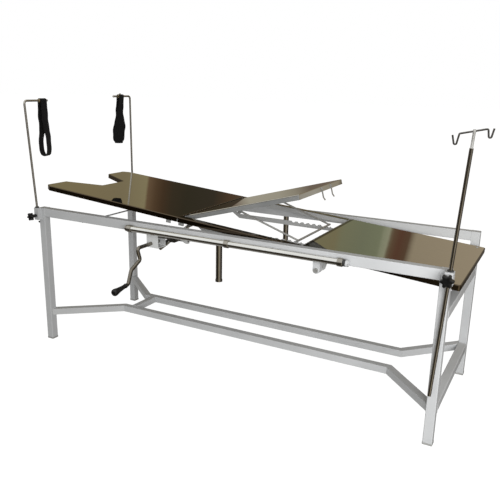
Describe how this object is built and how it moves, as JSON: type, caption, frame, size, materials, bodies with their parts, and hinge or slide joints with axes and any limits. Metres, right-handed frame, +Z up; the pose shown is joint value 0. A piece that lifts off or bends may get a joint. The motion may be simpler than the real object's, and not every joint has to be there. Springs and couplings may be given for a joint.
{
  "type": "obstetric table",
  "caption": "Delivery table on a square-tube frame: tilting stainless top with a cut-out, hinged backrest on a ratchet prop, hand crank, leg-sling rods and an infusion pole.",
  "frame": {"origin": "middle of the overall box on the floor plane, under the table", "axes": "+X to the head end, +Y away from the crank side, +Z up"},
  "size_m": [2.0332, 0.978, 1.188],
  "materials": {
    "frame_paint": "satin powder coat, light grey",
    "under_paint": "satin grey paint",
    "mirror_sheet": "polished stainless sheet",
    "stainless_tube": "polished stainless tube",
    "plated_steel": "bright plated steel",
    "dark_steel": "dark steel",
    "dark_tube": "polished steel tube",
    "brass": "dull brass",
    "black_plastic": "black moulded plastic",
    "grey_plastic": "grey plastic",
    "bearing_plastic": "sliding bush",
    "webbing": "woven black webbing"
  },
  "bodies": {
    "frame": {"leg_foot_near": "frame_paint", "leg_foot_far": "frame_paint", "leg_head_near": "frame_paint", "leg_head_far": "frame_paint", "foot_caps": "grey_plastic", "side_rail_near": "frame_paint", "side_rail_far": "frame_paint", "head_crossbar_upper": "frame_paint", "head_crossbar_lower": "frame_paint", "stretchers": "frame_paint", "stretcher_crossbar": "frame_paint", "foot_tie_rod": "frame_paint", "side_tubes": "stainless_tube", "side_tube_clips": "frame_paint", "accessory_tube_near": "dark_tube", "accessory_tube_far": "dark_tube", "pivot_lugs": "frame_paint", "pivot_pins": "plated_steel", "crank_housing": "frame_paint", "screw_hanger": "frame_paint", "frame_screws": "dark_steel", "stirrup_sockets": "frame_paint", "iv_socket": "frame_paint"},
    "tilt_top": {"seat_panel": "mirror_sheet", "head_panel": "mirror_sheet", "edge_strips": "mirror_sheet", "top_frame": "under_paint", "lift_pad": "under_paint", "pivot_plates": "under_paint", "backrest_hinge_rod": "plated_steel", "ratchet_racks": "under_paint", "panel_bolts": "plated_steel"},
    "backrest": {"backrest_frame": "under_paint", "backrest_panel": "mirror_sheet", "prop_pins": "plated_steel", "backrest_hooks": "plated_steel"},
    "prop": {"prop_frame": "plated_steel"},
    "crank": {"crank_arm": "dark_tube", "crank_gear": "dark_steel"},
    "crank_grip": {"crank_grip": "black_plastic"},
    "lift_screw": {"lift_screw": "dark_steel", "screw_gear": "dark_steel"},
    "lift_nut": {"lift_nut": "dark_steel", "link_pin": "plated_steel"},
    "lift_link": {"lift_link": "stainless_tube"},
    "sleeve_near": {"stirrup_sleeve_near": "bearing_plastic"},
    "rod_near": {"stirrup_rod_near": "plated_steel"},
    "sling_near": {"sling_clip_near": "brass", "sling_near": "webbing"},
    "knob_near": {"stirrup_knob_near": "black_plastic"},
    "sleeve_far": {"stirrup_sleeve_far": "bearing_plastic"},
    "rod_far": {"stirrup_rod_far": "plated_steel"},
    "sling_far": {"sling_clip_far": "brass", "sling_far": "webbing"},
    "knob_far": {"stirrup_knob_far": "black_plastic"},
    "iv_sleeve": {"iv_sleeve": "bearing_plastic"},
    "iv_pole": {"iv_pole": "dark_tube", "iv_hook_stem": "plated_steel", "iv_hook_bar": "dark_steel"},
    "iv_knob": {"iv_knob": "black_plastic"}
  },
  "joints": [
    {"name": "top_tilt", "type": "hinge", "parent": "frame", "child": "tilt_top", "pos_m": [0.45162, 0.08549, 0.587], "axis": [0, 1, 0], "range_deg": [-4.8, 2.8]},
    {"name": "backrest_raise", "type": "hinge", "parent": "tilt_top", "child": "backrest", "pos_m": [-0.18878, 0.08549, 0.69044], "axis": [0, -1, 0], "range_deg": [-20.3, 35]},
    {"name": "prop_fold", "type": "hinge", "parent": "backrest", "child": "prop", "pos_m": [0.0367, 0.08549, 0.73429], "axis": [0, 1, 0], "range_deg": [-39, 66.5]},
    {"name": "crank_turn", "type": "hinge", "parent": "frame", "child": "crank", "pos_m": [-0.32438, 0.08549, 0.575], "axis": [0, 1, 0], "range_deg": [-920, 540]},
    {"name": "grip_spin", "type": "hinge", "parent": "crank", "child": "crank_grip", "pos_m": [-0.32438, -0.40651, 0.4333], "axis": [0, -0.9917, -0.1288], "continuous": true},
    {"name": "screw_turn", "type": "hinge", "parent": "frame", "child": "lift_screw", "pos_m": [-0.26638, -0.20451, 0.605], "axis": [1, 0, 0], "range_deg": [-540, 920]},
    {"name": "nut_travel", "type": "slide", "parent": "frame", "child": "lift_nut", "axis": [1, 0, 0], "range_m": [-0.0512, 0.03]},
    {"name": "link_swing", "type": "hinge", "parent": "lift_nut", "child": "lift_link", "pos_m": [-0.30638, -0.15751, 0.555], "axis": [0, -1, 0], "range_deg": [-21.5, 12.8]},
    {"name": "stirrup_swivel_near", "type": "hinge", "parent": "frame", "child": "sleeve_near", "pos_m": [-0.96138, -0.26651, 0.639], "axis": [-0.0698, 0, 0.9976], "range_deg": [-90, 90]},
    {"name": "stirrup_height_near", "type": "slide", "parent": "sleeve_near", "child": "rod_near", "axis": [-0.0698, 0, 0.9976], "range_m": [-0.05, 0.04]},
    {"name": "sling_swing_near", "type": "hinge", "parent": "rod_near", "child": "sling_near", "pos_m": [-0.99755, -0.15951, 1.15624], "axis": [0, 1, 0], "range_deg": [-30, 30]},
    {"name": "stirrup_knob_turn_near", "type": "hinge", "parent": "frame", "child": "knob_near", "pos_m": [-0.96138, -0.30951, 0.631], "axis": [0, -1, 0], "range_deg": [-90, 270]},
    {"name": "stirrup_swivel_far", "type": "hinge", "parent": "frame", "child": "sleeve_far", "pos_m": [-0.96138, 0.43749, 0.639], "axis": [0, 0, 1], "range_deg": [-90, 90]},
    {"name": "stirrup_height_far", "type": "slide", "parent": "sleeve_far", "child": "rod_far", "axis": [0, 0, 1], "range_m": [-0.05, 0.04]},
    {"name": "sling_swing_far", "type": "hinge", "parent": "rod_far", "child": "sling_far", "pos_m": [-0.96138, 0.36149, 1.173], "axis": [0, 1, 0], "range_deg": [-30, 30]},
    {"name": "stirrup_knob_turn_far", "type": "hinge", "parent": "frame", "child": "knob_far", "pos_m": [-0.96138, 0.48049, 0.631], "axis": [0, 1, 0], "range_deg": [-90, 270]},
    {"name": "iv_swivel", "type": "hinge", "parent": "frame", "child": "iv_sleeve", "pos_m": [0.93162, -0.27151, 0.644], "axis": [0.0523, 0, 0.9986], "range_deg": [-180, 180]},
    {"name": "iv_height", "type": "slide", "parent": "iv_sleeve", "child": "iv_pole", "axis": [0.0523, 0, 0.9986], "range_m": [-0.1, 0.38]},
    {"name": "iv_knob_turn", "type": "hinge", "parent": "frame", "child": "iv_knob", "pos_m": [0.93162, -0.30451, 0.643], "axis": [0, -1, 0], "range_deg": [-90, 270]}
  ],
  "couplings": [
    {"joint": "prop_fold", "follows": "backrest_raise", "ratio": 1.85},
    {"joint": "crank_turn", "follows": "top_tilt", "ratio": 189},
    {"joint": "screw_turn", "follows": "top_tilt", "ratio": -189},
    {"joint": "nut_travel", "follows": "top_tilt", "m_per_rad": 0.60161},
    {"joint": "link_swing", "follows": "top_tilt", "ratio": 4.4}
  ]
}
